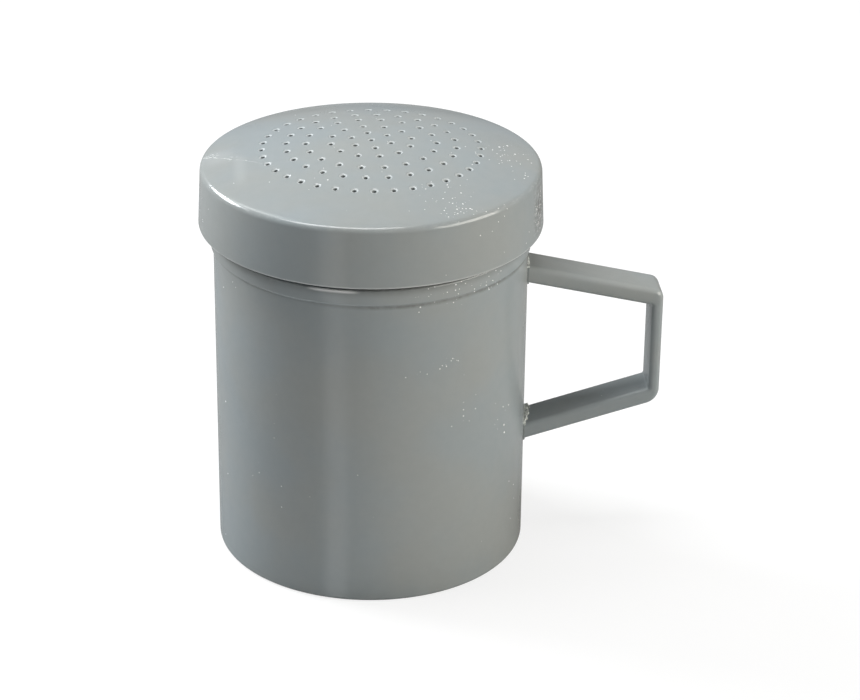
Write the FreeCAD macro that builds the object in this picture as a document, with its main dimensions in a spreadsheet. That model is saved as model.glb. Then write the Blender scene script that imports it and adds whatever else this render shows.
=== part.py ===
import FreeCAD, Part
import math
import os
import Sketcher
from FreeCAD import Vector

# A handled table shaker: a straight moulded cup with a bonded loop handle and a perforated
# press-on lid. The cup stands on the plane z = 0 about the Z axis, and the handle points
# along +X. Lengths are millimetres and angles are degrees.

sizes = {
    # Cup
    "CupRadius": 36.65,
    "CupHeight": 93.9,
    "CupWall": 2.0,
    "CavityDraft": 0.35,
    "FloorThickness": 2.4,
    "FloorCornerRadius": 3.0,
    "FootRecess": 0.8,
    "FootRingWidth": 3.6,
    "FootEdgeRadius": 0.9,
    "RimEdgeRadius": 0.5,
    # Neck, from the rim down to the stop collar, and the collar itself
    "NeckHeight": 13.9,
    "CollarDepth": 4.3,
    "CollarProud": 0.6,
    "CollarTopEdgeRadius": 0.5,
    "CollarLowEdgeRadius": 0.3,
    # Snap beads: one round the neck, and one inside the lid's skirt that sits under it
    "NeckBeadDrop": 5.7,
    "BeadRound": 0.9,
    "BeadProud": 0.5,
    "SnapClearance": 0.08,
    "BeadSpacing": 1.9,
    # Lid: the room between its skirt and the neck, and its gap above the collar
    "SkirtRoom": 1.15,
    "SkirtGap": 1.2,
    "SkirtDraft": 0.65,
    "LidWall": 2.2,
    "LidTopThickness": 2.0,
    "ShoulderHeight": 1.24,
    "DomeRise": 5.73,
    "ShoulderRadius": 1.6,
    "SkirtEdgeRadius": 0.25,
    "SeatLip": 1.0,
    # Perforation: one hole on the axis and five rings about it, each a step out from the last
    "HoleRadius": 0.62,
    "MouthMargin": 0.36,
    "MouthDepth": 0.25,
    "RingACount": 6,
    "RingAStep": 4.8,
    "RingAStartAngle": 37.6,
    "RingBCount": 12,
    "RingBStep": 4.6,
    "RingBStartAngle": 8.3,
    "RingCCount": 18,
    "RingCStep": 5.6,
    "RingCStartAngle": 18.2,
    "RingDCount": 24,
    "RingDStep": 4.6,
    "RingDStartAngle": 8.1,
    "RingECount": 36,
    "RingEStep": 5.6,
    "RingEStartAngle": 8.3,
    # Handle: its depth from the cup's wall, where its two roots are, and how far the outer
    # outline of each bar comes in from root to grip
    "HandleWidth": 10.1,
    "HandleDepth": 32.15,
    "GripThickness": 2.7,
    "UpperRootDrop": 5.45,
    "LowerRootHeight": 24.95,
    "UpperBarFall": 7.05,
    "LowerBarRise": 9.5,
    "UpperBarThickness": 4.25,
    "LowerBarThickness": 4.05,
    "UpperCornerRadius": 2.5,
    "LowerCornerRadius": 4.0,
    "InnerCornerRadius": 0.6,
    "OuterEdgeRadius": 1.3,
    "InnerEdgeRadius": 1.1,
    # Bond between each handle root and the cup's wall
    "BondThickness": 0.3,
    "BondLip": 0.3,
    # How far a bar or a cutter runs past the surface that trims it
    "Overrun": 2.0,
}

doc = FreeCAD.newDocument("table_shaker")
sheet = doc.addObject("Spreadsheet::Sheet", "Sizes")
for row, (alias, value) in enumerate(sizes.items(), 1):
    sheet.set(f"A{row}", alias)
    sheet.set(f"B{row}", str(value))
    sheet.setAlias(f"B{row}", alias)
doc.recompute()


class Size:
    """A value together with the sheet expression that gives it."""

    def __init__(self, value, text):
        self.value = value
        self.text = text

    def __add__(self, other):
        return combine(self, other, "+", self.value + number(other))

    def __sub__(self, other):
        return combine(self, other, "-", self.value - number(other))

    def __mul__(self, other):
        return combine(self, other, "*", self.value * number(other))

    def __truediv__(self, other):
        return combine(self, other, "/", self.value / number(other))

    def __neg__(self):
        return Size(-self.value, f"(0 - {self.text})")


def number(value):
    return value.value if isinstance(value, Size) else value


def combine(left, right, sign, value):
    right_text = right.text if isinstance(right, Size) else repr(right)
    return Size(value, f"({left.text} {sign} {right_text})")


def root(size):
    return Size(math.sqrt(size.value), f"sqrt({size.text})")


def cell(alias):
    """One driving dimension, read from the sheet's table."""
    return Size(sizes[alias], f"Sizes.{alias}")


cup_radius = cell("CupRadius")
cup_height = cell("CupHeight")
cup_wall = cell("CupWall")
cavity_draft = cell("CavityDraft")
floor_thickness = cell("FloorThickness")
floor_corner = cell("FloorCornerRadius")
foot_recess = cell("FootRecess")
foot_ring = cell("FootRingWidth")
foot_edge = cell("FootEdgeRadius")
rim_edge = cell("RimEdgeRadius")
neck_height = cell("NeckHeight")
collar_depth = cell("CollarDepth")
collar_proud = cell("CollarProud")
collar_top_edge = cell("CollarTopEdgeRadius")
collar_low_edge = cell("CollarLowEdgeRadius")
neck_bead_drop = cell("NeckBeadDrop")
bead_round = cell("BeadRound")
bead_proud = cell("BeadProud")
snap_clearance = cell("SnapClearance")
bead_spacing = cell("BeadSpacing")
skirt_room = cell("SkirtRoom")
skirt_gap = cell("SkirtGap")
skirt_draft = cell("SkirtDraft")
lid_wall = cell("LidWall")
lid_top_thickness = cell("LidTopThickness")
shoulder_height = cell("ShoulderHeight")
dome_rise = cell("DomeRise")
shoulder_edge = cell("ShoulderRadius")
skirt_edge = cell("SkirtEdgeRadius")
seat_lip = cell("SeatLip")
hole_radius = cell("HoleRadius")
mouth_margin = cell("MouthMargin")
mouth_depth = cell("MouthDepth")
hole_rings = [
    (name, cell(f"{name}Count"), cell(f"{name}Step"), cell(f"{name}StartAngle"))
    for name in ("RingA", "RingB", "RingC", "RingD", "RingE")
]
handle_width = cell("HandleWidth")
handle_depth = cell("HandleDepth")
grip_thickness = cell("GripThickness")
upper_root_drop = cell("UpperRootDrop")
lower_root = cell("LowerRootHeight")
upper_bar_fall = cell("UpperBarFall")
lower_bar_rise = cell("LowerBarRise")
upper_thickness = cell("UpperBarThickness")
lower_thickness = cell("LowerBarThickness")
upper_corner = cell("UpperCornerRadius")
lower_corner = cell("LowerCornerRadius")
inner_corner = cell("InnerCornerRadius")
outer_edge = cell("OuterEdgeRadius")
inner_edge = cell("InnerEdgeRadius")
bond_thickness = cell("BondThickness")
bond_lip = cell("BondLip")
overrun = cell("Overrun")

# Heights and radii that several pieces share
collar_top = cup_height - neck_height
collar_base = collar_top - collar_depth
neck_bead_height = cup_height - neck_bead_drop
upper_root = collar_base - upper_root_drop
grip_top = upper_root - upper_bar_fall
grip_bottom = lower_root + lower_bar_rise
handle_reach = cup_radius + handle_depth
mouth_radius = hole_radius + mouth_margin

TOLERANCE_SHARE = 1e-6


def close(a, b):
    return abs(a - b) <= TOLERANCE_SHARE * cup_radius.value


def bind(target, prop, size):
    target.setExpression(prop, size.text)


def origin_plane(body, role):
    return next(item for item in body.Origin.OriginFeatures if item.Role == role)


def new_body(label):
    body = doc.addObject("PartDesign::Body", label)
    body.Label = label
    return body


def new_sketch(body, name, role):
    sketch = body.newObject("Sketcher::SketchObject", name)
    sketch.AttachmentSupport = [(origin_plane(body, role), "")]
    sketch.MapMode = "FlatFace"
    return sketch


def place_point(sketch, item, point, across, up):
    """Fix one point of a sketch at two sizes, counted from the sketch's origin."""
    for kind, axis, size in (("DistanceX", -2, across), ("DistanceY", -1, up)):
        if number(size) == 0:
            sketch.addConstraint(Sketcher.Constraint("PointOnObject", item, point, axis))
            continue
        rule = Sketcher.Constraint(kind, -1, 1, item, point, size.value)
        bind(sketch, f"Constraints[{sketch.addConstraint(rule)}]", size)


def outline(body, name, corners, domes=()):
    """A closed outline on the body's XZ plane. Sides listed in domes are arcs about the Z axis,
    each given as its side's number and the height of its centre."""
    sketch = new_sketch(body, name, "XZ_Plane")
    centres = dict(domes)
    spots = [Vector(number(across), number(up), 0) for across, up in corners]
    starts = []
    for side, spot in enumerate(spots):
        following = spots[(side + 1) % len(spots)]
        if side not in centres:
            sketch.addGeometry(Part.LineSegment(spot, following))
            starts.append((1, 2))
            continue
        centre = Vector(0, number(centres[side]), 0)
        angles = [math.atan2(point.y - centre.y, point.x) for point in (spot, following)]
        circle = Part.Circle(centre, Vector(0, 0, 1), (spot - centre).Length)
        sketch.addGeometry(Part.ArcOfCircle(circle, min(angles), max(angles)))
        starts.append((1, 2) if angles[0] < angles[1] else (2, 1))
    for side, (across, up) in enumerate(corners):
        before = side - 1 if side else len(corners) - 1
        rule = Sketcher.Constraint("Coincident", before, starts[before][1], side, starts[side][0])
        sketch.addConstraint(rule)
        place_point(sketch, side, starts[side][0], across, up)
        if side in centres:
            sketch.addConstraint(Sketcher.Constraint("PointOnObject", side, 3, -2))
    return sketch


def disc(body, name, role, across, up, radius):
    """A sketch of one circle."""
    sketch = new_sketch(body, name, role)
    centre = Vector(number(across), number(up), 0)
    sketch.addGeometry(Part.Circle(centre, Vector(0, 0, 1), radius.value))
    place_point(sketch, 0, 3, across, up)
    rule = Sketcher.Constraint("Radius", 0, radius.value)
    bind(sketch, f"Constraints[{sketch.addConstraint(rule)}]", radius)
    return sketch


def turned(body, kind, name, sketch):
    """A Revolution or a Groove of a sketch, right round the Z axis."""
    feature = body.newObject(f"PartDesign::{kind}", name)
    feature.Profile = sketch
    feature.ReferenceAxis = (sketch, ["V_Axis"])
    feature.Angle = 360
    sketch.Visibility = False
    doc.recompute()
    return feature


def ring_edges(shape, radius, height):
    """Names of the circular edges about the Z axis that have this radius and height."""
    names = []
    for count, edge in enumerate(shape.Edges, 1):
        if edge.Degenerated or not isinstance(edge.Curve, Part.Circle):
            continue
        curve = edge.Curve
        on_axis = close(curve.Center.x, 0) and close(curve.Center.y, 0)
        if on_axis and close(curve.Radius, number(radius)) and close(curve.Center.z, number(height)):
            names.append(f"Edge{count}")
    return names


def rounded(body, name, edges, radius):
    """A fillet on the named edges of the body's last feature."""
    if not edges:
        raise RuntimeError(f"{name}: no edge found")
    base = body.Tip
    fillet = body.newObject("PartDesign::Fillet", name)
    fillet.Base = (base, edges)
    bind(fillet, "Radius", radius)
    doc.recompute()
    return fillet


def check_cut(body, name, before):
    if not body.Shape.Volume < before:
        raise RuntimeError(f"{name}: nothing was cut")


def make_cup():
    """The cup: foot ring, straight wall, stop collar and a neck with a snap bead."""
    body = new_body("cup")
    ring_inner = cup_radius - foot_ring
    floor_top = foot_recess + floor_thickness
    collar_radius = cup_radius + collar_proud
    rim_inner = cup_radius - cup_wall
    well_radius = rim_inner - cavity_draft
    profile = outline(
        body,
        "cup_profile",
        [
            (0, foot_recess),
            (ring_inner, foot_recess),
            (ring_inner, 0),
            (cup_radius, 0),
            (cup_radius, collar_base),
            (collar_radius, collar_base),
            (collar_radius, collar_top),
            (cup_radius, collar_top),
            (cup_radius, cup_height),
            (rim_inner, cup_height),
            (well_radius, floor_top),
            (0, floor_top),
        ],
    )
    turned(body, "Revolution", "cup_wall", profile)
    bead_centre = cup_radius + bead_proud - bead_round
    bead = disc(body, "neck_bead_profile", "XZ_Plane", bead_centre, neck_bead_height, bead_round)
    turned(body, "Revolution", "neck_bead", bead)
    for name, ring, height, radius in (
        ("foot_edge", cup_radius, 0, foot_edge),
        ("collar_low_edge", collar_radius, collar_base, collar_low_edge),
        ("collar_top_edge", collar_radius, collar_top, collar_top_edge),
        ("rim_outer_edge", cup_radius, cup_height, rim_edge),
        ("rim_inner_edge", rim_inner, cup_height, rim_edge),
        ("floor_corner", well_radius, floor_top, floor_corner),
    ):
        rounded(body, name, ring_edges(body.Shape, ring, height), radius)
    return body


def make_lid():
    """The press-on lid: a domed plate, a skirt with a snap bead inside, and rings of holes."""
    body = new_body("lid")
    lid_radius = cup_radius + skirt_room + lid_wall
    lid_top_radius = lid_radius - skirt_draft
    apex = cup_height + shoulder_height + dome_rise
    skirt_bottom = collar_top + skirt_gap
    dome_radius = (lid_top_radius * lid_top_radius + dome_rise * dome_rise) / (dome_rise * 2)
    dome_centre = apex - dome_radius
    under_radius = dome_radius - lid_top_thickness
    seat_inner = cup_radius - cup_wall - seat_lip
    under_edge = dome_centre + root(under_radius * under_radius - seat_inner * seat_inner)
    profile = outline(
        body,
        "lid_profile",
        [
            (0, apex),
            (lid_top_radius, apex - dome_rise),
            (lid_radius, skirt_bottom),
            (lid_radius - lid_wall, skirt_bottom),
            (lid_top_radius - lid_wall, cup_height),
            (seat_inner, cup_height),
            (seat_inner, under_edge),
            (0, apex - lid_top_thickness),
        ],
        domes=[(0, dome_centre), (6, dome_centre)],
    )
    turned(body, "Revolution", "lid_shell", profile)
    bead_inner = cup_radius + bead_proud + snap_clearance
    bead_height = neck_bead_height - bead_spacing
    bead = disc(body, "lid_bead_profile", "XZ_Plane", bead_inner + bead_round, bead_height, bead_round)
    turned(body, "Revolution", "lid_bead", bead)
    for name, ring, height, radius in (
        ("shoulder", lid_top_radius, apex - dome_rise, shoulder_edge),
        ("skirt_outer_edge", lid_radius, skirt_bottom, skirt_edge),
        ("skirt_inner_edge", lid_radius - lid_wall, skirt_bottom, skirt_edge),
    ):
        rounded(body, name, ring_edges(body.Shape, ring, height), radius)
    pierce(body, "hole_centre", 0, 0)
    dish(body, "mouth_centre", 0, 0, apex, dome_centre)
    ring_radius = Size(0, "0")
    for name, count, step, start in hole_rings:
        ring_radius = ring_radius + step
        angle = math.radians(start.value)
        cosine = Size(math.cos(angle), f"cos({start.text})")
        sine = Size(math.sin(angle), f"sin({start.text})")
        pocket = pierce(body, f"{name}_hole", ring_radius * cosine, ring_radius * sine)
        top = dome_centre + root(dome_radius * dome_radius - ring_radius * ring_radius)
        mouth = dish(body, f"{name}_mouth", ring_radius * cosine, ring_radius * sine, top, dome_centre)
        pattern = body.newObject("PartDesign::PolarPattern", f"{name}_holes")
        pattern.Originals = [pocket, mouth]
        pattern.Axis = (pocket.Profile[0], ["N_Axis"])
        pattern.Angle = 360
        bind(pattern, "Occurrences", count)
        body.Tip = pattern
        doc.recompute()
    return body


def pierce(body, name, across, up):
    """One round hole, up through the whole body."""
    before = body.Shape.Volume
    circle = disc(body, f"{name}_profile", "XY_Plane", across, up, hole_radius)
    pocket = body.newObject("PartDesign::Pocket", name)
    pocket.Profile = circle
    pocket.Type = "ThroughAll"
    pocket.Reversed = True
    circle.Visibility = False
    doc.recompute()
    check_cut(body, name, before)
    return pocket


def dish(body, name, across, up, top, centre_height):
    """A shallow round dish about a hole's mouth, sunk square to the domed top. The ball that
    cuts it has its centre on the line from the dome's centre through the mouth."""
    before = body.Shape.Volume
    ball_radius = (mouth_radius * mouth_radius + mouth_depth * mouth_depth) / (mouth_depth * 2)
    rise = top - centre_height
    if number(across) == 0:
        reach = rise
    else:
        reach = root(across * across + up * up + rise * rise)
    stretch = (reach + ball_radius - mouth_depth) / reach
    ball = body.newObject("PartDesign::SubtractiveSphere", name)
    bind(ball, "Radius", ball_radius)
    if number(across) != 0:
        bind(ball, "Placement.Base.x", across * stretch)
        bind(ball, "Placement.Base.y", up * stretch)
    bind(ball, "Placement.Base.z", centre_height + rise * stretch)
    doc.recompute()
    check_cut(body, name, before)
    return ball


def bar_height(root_height, grip_height, across):
    """Height of a bar's outer face at a distance from the axis, on the straight line from the
    cup's wall to the grip."""
    slope = (root_height - grip_height) / (handle_reach - cup_radius)
    return grip_height + slope * (handle_reach - across)


def make_handle():
    """The loop handle: two bars that close in towards an upright grip."""
    body = new_body("handle")
    inside = cup_radius - overrun
    grip_inner = handle_reach - grip_thickness
    upper_start = bar_height(upper_root, grip_top, inside)
    upper_end = bar_height(upper_root, grip_top, grip_inner)
    lower_start = bar_height(lower_root, grip_bottom, inside)
    lower_end = bar_height(lower_root, grip_bottom, grip_inner)
    profile = outline(
        body,
        "handle_profile",
        [
            (inside, upper_start),
            (handle_reach, grip_top),
            (handle_reach, grip_bottom),
            (inside, lower_start),
            (inside, lower_start + lower_thickness),
            (grip_inner, lower_end + lower_thickness),
            (grip_inner, upper_end - upper_thickness),
            (inside, upper_start - upper_thickness),
        ],
    )
    pad = body.newObject("PartDesign::Pad", "handle_loop")
    pad.Profile = profile
    pad.Midplane = True
    bind(pad, "Length", handle_width)
    profile.Visibility = False
    doc.recompute()
    for name, across, height, radius in (
        ("upper_corner", handle_reach, grip_top, upper_corner),
        ("lower_corner", handle_reach, grip_bottom, lower_corner),
        ("inner_upper_corner", grip_inner, upper_end - upper_thickness, inner_corner),
        ("inner_lower_corner", grip_inner, lower_end + lower_thickness, inner_corner),
    ):
        rounded(body, name, cross_edges(body.Shape, across, height), radius)
    outer = side_edges(body.Shape, True)
    rounded(body, "outer_edges", outer, outer_edge)
    inner = side_edges(body.Shape, False)
    rounded(body, "inner_edges", inner, inner_edge)
    before = body.Shape.Volume
    seat_radius = cup_radius + bond_thickness
    trim = outline(
        body,
        "trim_profile",
        [(0, 0), (seat_radius, 0), (seat_radius, cup_height), (0, cup_height)],
    )
    turned(body, "Groove", "cup_trim", trim)
    check_cut(body, "cup_trim", before)
    return body


def cross_edges(shape, across, height):
    """Names of the straight edges along Y that cross the XZ plane at this place."""
    names = []
    for count, edge in enumerate(shape.Edges, 1):
        middle = edge.BoundBox.Center
        upright = close(edge.BoundBox.XLength, 0) and close(edge.BoundBox.ZLength, 0)
        if upright and close(middle.x, number(across)) and close(middle.z, number(height)):
            names.append(f"Edge{count}")
    return names


def side_edges(shape, outer):
    """Names of the long edges on the handle's two flat sides: those of its outer outline, or
    those round its finger gap. The short edges of the two roots are left out."""
    names = []
    inside = (cup_radius - overrun).value
    half = handle_width.value / 2
    middle_height = (grip_top.value + grip_bottom.value) / 2
    for count, edge in enumerate(shape.Edges, 1):
        box = edge.BoundBox
        on_side = close(abs(box.YMin), half) and close(box.YMin, box.YMax)
        at_root = close(box.XMin, inside) and close(box.XMax, inside)
        if not on_side or at_root:
            continue
        centre = edge.valueAt((edge.FirstParameter + edge.LastParameter) / 2)
        if is_outer(centre, middle_height) == outer:
            names.append(f"Edge{count}")
    return names


def is_outer(point, middle_height):
    """Whether a point of the handle's side lies on its outer outline."""
    across = Size(point.x, "")
    if point.z > middle_height:
        outside = bar_height(upper_root, grip_top, across).value - point.z
        limit = upper_thickness.value / 2
    else:
        outside = point.z - bar_height(lower_root, grip_bottom, across).value
        limit = lower_thickness.value / 2
    beyond_grip = handle_reach.value - point.x < grip_thickness.value / 2
    return beyond_grip or outside < limit


def make_bond(name, low, high):
    """A curved layer between the cup's wall and one root, a lip wider than the root all round."""
    plate = doc.addObject("Part::Box", f"{name}_plate")
    bind(plate, "Length", overrun * 2)
    bind(plate, "Width", handle_width + bond_lip * 2)
    bind(plate, "Height", high - low + bond_lip * 2)
    bind(plate, "Placement.Base.x", cup_radius - overrun)
    bind(plate, "Placement.Base.y", -(handle_width / 2 + bond_lip))
    bind(plate, "Placement.Base.z", low - bond_lip)
    cylinders = []
    for part, radius in (("outside", cup_radius + bond_thickness), ("inside", cup_radius)):
        cylinder = doc.addObject("Part::Cylinder", f"{name}_{part}")
        bind(cylinder, "Radius", radius)
        bind(cylinder, "Height", cup_height)
        cylinders.append(cylinder)
    layer = doc.addObject("Part::Cut", f"{name}_layer")
    layer.Base, layer.Tool = cylinders
    bond = doc.addObject("Part::Common", name)
    bond.Base, bond.Tool = layer, plate
    bond.Label = name
    doc.recompute()
    return bond


def main():
    pieces = [make_cup(), make_handle(), make_lid()]
    pieces.append(make_bond("upper_bond", upper_root - upper_thickness, upper_root))
    pieces.append(make_bond("lower_bond", lower_root, lower_root + lower_thickness))
    doc.recompute()
    for item in doc.Objects:
        if "Invalid" in item.State or "Error" in item.State:
            raise RuntimeError(f"{item.Name} failed: {item.State}")
    os.makedirs("parts", exist_ok=True)
    for piece in pieces:
        shape = piece.Shape
        if shape.isNull() or not shape.isValid() or len(shape.Solids) != 1:
            raise RuntimeError(f"{piece.Label}: not one valid solid")
        box = shape.BoundBox
        print(
            f"{piece.Label}: {shape.Volume:.1f} mm3,"
            f" x {box.XMin:.2f} to {box.XMax:.2f},"
            f" y {box.YMin:.2f} to {box.YMax:.2f},"
            f" z {box.ZMin:.2f} to {box.ZMax:.2f}"
        )
    for piece in pieces:
        piece.Shape.exportStep(f"parts/{piece.Label}.step")


main()
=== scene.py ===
"""Looks of a handled table shaker: a moulded cup, its bonded loop handle and a perforated lid."""

import logging
import math
import random
from contextlib import contextmanager
from dataclasses import dataclass, field
from enum import Enum
from typing import Any, Callable, Iterator, Mapping, Sequence

import bmesh
import bpy
from mathutils import Matrix, Vector


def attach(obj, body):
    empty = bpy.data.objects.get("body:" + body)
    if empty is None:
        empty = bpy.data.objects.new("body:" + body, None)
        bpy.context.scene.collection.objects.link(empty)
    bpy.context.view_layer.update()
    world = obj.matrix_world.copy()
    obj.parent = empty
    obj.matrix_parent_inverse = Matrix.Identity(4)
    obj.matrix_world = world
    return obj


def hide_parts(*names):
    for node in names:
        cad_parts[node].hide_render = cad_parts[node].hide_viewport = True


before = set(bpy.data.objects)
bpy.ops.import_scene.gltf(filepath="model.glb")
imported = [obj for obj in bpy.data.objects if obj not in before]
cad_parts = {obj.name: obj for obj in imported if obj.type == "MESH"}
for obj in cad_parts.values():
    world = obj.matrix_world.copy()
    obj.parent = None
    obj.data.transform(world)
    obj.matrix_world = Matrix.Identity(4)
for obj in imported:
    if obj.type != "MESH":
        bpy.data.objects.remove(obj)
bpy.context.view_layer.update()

logging.basicConfig(level=logging.INFO, format="%(message)s")
log = logging.getLogger("table_shaker")

MM = 0.001
TOUCH = 0.01 * MM
FULL_TURN = 2 * math.pi
Point = tuple[float, float]
Colour = tuple[float, float, float, float]


class Slot(Enum):
    """Material slots of the record."""

    BODY = "body_plastic"
    LID = "lid_plastic"
    BOND = "bond"


# ---- Modelling helpers


def deselect_all() -> None:
    """Leave object mode with nothing selected."""
    if bpy.context.object and bpy.context.object.mode != "OBJECT":
        bpy.ops.object.mode_set(mode="OBJECT")
    bpy.ops.object.select_all(action="DESELECT")


def activate(piece: bpy.types.Object) -> None:
    """Make one object the only one selected, and active.

    Args:
        piece: The object to work on.
    """
    deselect_all()
    piece.select_set(True)
    bpy.context.view_layer.objects.active = piece


@contextmanager
def editing(piece: bpy.types.Object) -> Iterator[bpy.types.Object]:
    """Edit mode on one object, left again at the end.

    Args:
        piece: The object to edit.
    """
    activate(piece)
    bpy.ops.object.mode_set(mode="EDIT")
    try:
        yield piece
    finally:
        bpy.ops.object.mode_set(mode="OBJECT")


def select_where(piece: bpy.types.Object, kind: str, test: Callable[[Any], bool]) -> None:
    """Select the parts of the edited mesh that pass a test, and nothing else.

    Args:
        piece: The object in edit mode.
        kind: "verts", "edges" or "faces".
        test: Says whether a vertex, edge or face is selected.
    """
    modes = {"verts": "VERT", "edges": "EDGE", "faces": "FACE"}
    bpy.ops.mesh.select_mode(type=modes[kind])
    bpy.ops.mesh.select_all(action="DESELECT")
    mesh = bmesh.from_edit_mesh(piece.data)
    for item in [item for item in getattr(mesh, kind) if test(item)]:
        item.select_set(True)
    mesh.select_flush_mode()
    bmesh.update_edit_mesh(piece.data)


def apply_modifier(piece: bpy.types.Object, kind: str, **settings: Any) -> None:
    """Add a modifier to a piece and apply it.

    Args:
        piece: The object to change.
        kind: The modifier's type.
        **settings: The modifier's own properties.
    """
    activate(piece)
    modifier = piece.modifiers.new(kind.title(), kind)
    for name, value in settings.items():
        setattr(modifier, name, value)
    bpy.ops.object.modifier_apply(modifier=modifier.name)


def smooth(piece: bpy.types.Object, degrees: float) -> None:
    """Shade a piece smooth, but keep edges sharper than an angle crisp.

    Args:
        piece: The object to shade.
        degrees: The least angle of a crisp edge.
    """
    activate(piece)
    bpy.ops.object.shade_smooth_by_angle(angle=math.radians(degrees))


def clean(piece: bpy.types.Object) -> None:
    """Merge doubled points and turn all faces outwards.

    Args:
        piece: The object to clean.
    """
    with editing(piece):
        bpy.ops.mesh.select_all(action="SELECT")
        bpy.ops.mesh.remove_doubles(threshold=0.0005 * MM)
        bpy.ops.mesh.normals_make_consistent(inside=False)


def settle(piece: bpy.types.Object) -> None:
    """Put an object's place into its mesh, so that the object itself sits at the origin.

    Args:
        piece: The object to settle.
    """
    activate(piece)
    bpy.ops.object.transform_apply(location=True, rotation=True, scale=True)


def fillet_points(corners: Sequence[tuple[float, float, float]], steps: int) -> list[Point]:
    """Points of an open outline whose corners are rounded.

    Args:
        corners: Across, up and rounding radius of each corner.
        steps: Points on each rounding, less one.

    Returns:
        The outline's points, in order.
    """
    points: list[Point] = []
    for index, (across, up, radius) in enumerate(corners):
        inner = 0 < index < len(corners) - 1
        if not radius or not inner:
            points.append((across, up))
            continue
        here = Vector((across, up))
        back = (Vector(corners[index - 1][:2]) - here).normalized()
        ahead = (Vector(corners[index + 1][:2]) - here).normalized()
        half = math.acos(max(-1.0, min(1.0, back.dot(ahead)))) / 2
        middle = (back + ahead).normalized()
        centre = here + middle * (radius / math.sin(half))
        first = here + back * (radius / math.tan(half)) - centre
        last = here + ahead * (radius / math.tan(half)) - centre
        sweep = first.angle_signed(last)
        for step in range(steps + 1):
            spoke = first.copy()
            spoke.rotate(Matrix.Rotation(-sweep * step / steps, 2))
            points.append(tuple(centre + spoke))
    return points


def arc_points(
    middle: Point, radius: float, first: float, last: float, steps: int
) -> list[Point]:
    """Points of a round arc, with both its ends.

    Args:
        middle: Across and up of its centre.
        radius: Its radius.
        first: Angle of its first point, in radians from across towards up.
        last: Angle of its last point.
        steps: Points on it, less one.

    Returns:
        The arc's points, in order.
    """
    across, up = middle
    angles = [first + (last - first) * step / steps for step in range(steps + 1)]
    return [(across + radius * math.cos(a), up + radius * math.sin(a)) for a in angles]


def traced(name: str, points: Sequence[Point]) -> bpy.types.Object:
    """An outline in the XZ plane, extruded point by point.

    Args:
        name: The object's name.
        points: Across and up of each point, in millimetres.

    Returns:
        The new object, whose outline is open.
    """
    deselect_all()
    start = Vector((points[0][0], 0, points[0][1])) * MM
    bpy.ops.mesh.primitive_plane_add(size=MM, location=start)
    piece = bpy.context.object
    piece.name = name
    settle(piece)
    with editing(piece):
        bpy.ops.mesh.select_mode(type="VERT")
        bpy.ops.mesh.select_all(action="SELECT")
        bpy.ops.mesh.merge(type="CENTER")
        for before, after in zip(points, points[1:]):
            step = Vector((after[0] - before[0], 0, after[1] - before[1])) * MM
            bpy.ops.mesh.extrude_vertices_move(TRANSFORM_OT_translate={"value": step})
    return piece


def lathed(name: str, points: Sequence[Point], sides: int) -> bpy.types.Object:
    """A closed body of revolution about the Z axis.

    Args:
        name: The object's name.
        points: Radius and height of each point of its outline, in millimetres, from axis to
            axis.
        sides: How many sides it has round the axis.

    Returns:
        The new object.
    """
    piece = traced(name, points)
    with editing(piece):
        bpy.ops.mesh.select_all(action="SELECT")
        bpy.ops.mesh.spin(
            steps=sides,
            angle=FULL_TURN,
            use_auto_merge=True,
            center=(0, 0, 0),
            axis=(0, 0, 1),
        )
    clean(piece)
    return piece


# ---- Shader helpers


@dataclass(frozen=True)
class Value:
    """A shader socket that takes part in Python expressions."""

    graph: "Graph"
    socket: bpy.types.NodeSocket

    def _with(self, operation: str, *operands: Any) -> "Value":
        """One Math node on the given operands."""
        return self.graph.add(
            "ShaderNodeMath", {"operation": operation}, dict(enumerate(operands))
        )

    def __add__(self, other: Any) -> "Value":
        """Sum."""
        return self._with("ADD", self, other)

    def __sub__(self, other: Any) -> "Value":
        """Difference."""
        return self._with("SUBTRACT", self, other)

    def __rsub__(self, other: Any) -> "Value":
        """Difference from a number."""
        return self._with("SUBTRACT", other, self)

    def __mul__(self, other: Any) -> "Value":
        """Product."""
        return self._with("MULTIPLY", self, other)

    def __radd__(self, other: Any) -> "Value":
        """Sum with a number on the left."""
        return self._with("ADD", other, self)

    def __truediv__(self, other: Any) -> "Value":
        """Quotient."""
        return self._with("DIVIDE", self, other)

    def __abs__(self) -> "Value":
        """Absolute value."""
        return self._with("ABSOLUTE", self)

    def over(self, limit: Any) -> "Value":
        """1 where this is greater than a limit, and 0 elsewhere."""
        return self._with("GREATER_THAN", self, limit)

    def root(self) -> "Value":
        """Square root."""
        return self._with("SQRT", self)

    def ramp(self, low: float, high: float) -> "Value":
        """Smooth step from 0 at low to 1 at high, which may also be the lower of the two.

        Args:
            low: Where the step starts.
            high: Where it ends.

        Returns:
            The step.
        """
        flipped = low > high
        sockets = {"Value": self, "From Min": min(low, high), "From Max": max(low, high)}
        step = self.graph.add(
            "ShaderNodeMapRange", {"interpolation_type": "SMOOTHSTEP"}, sockets, "Result"
        )
        return 1 - step if flipped else step


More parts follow.
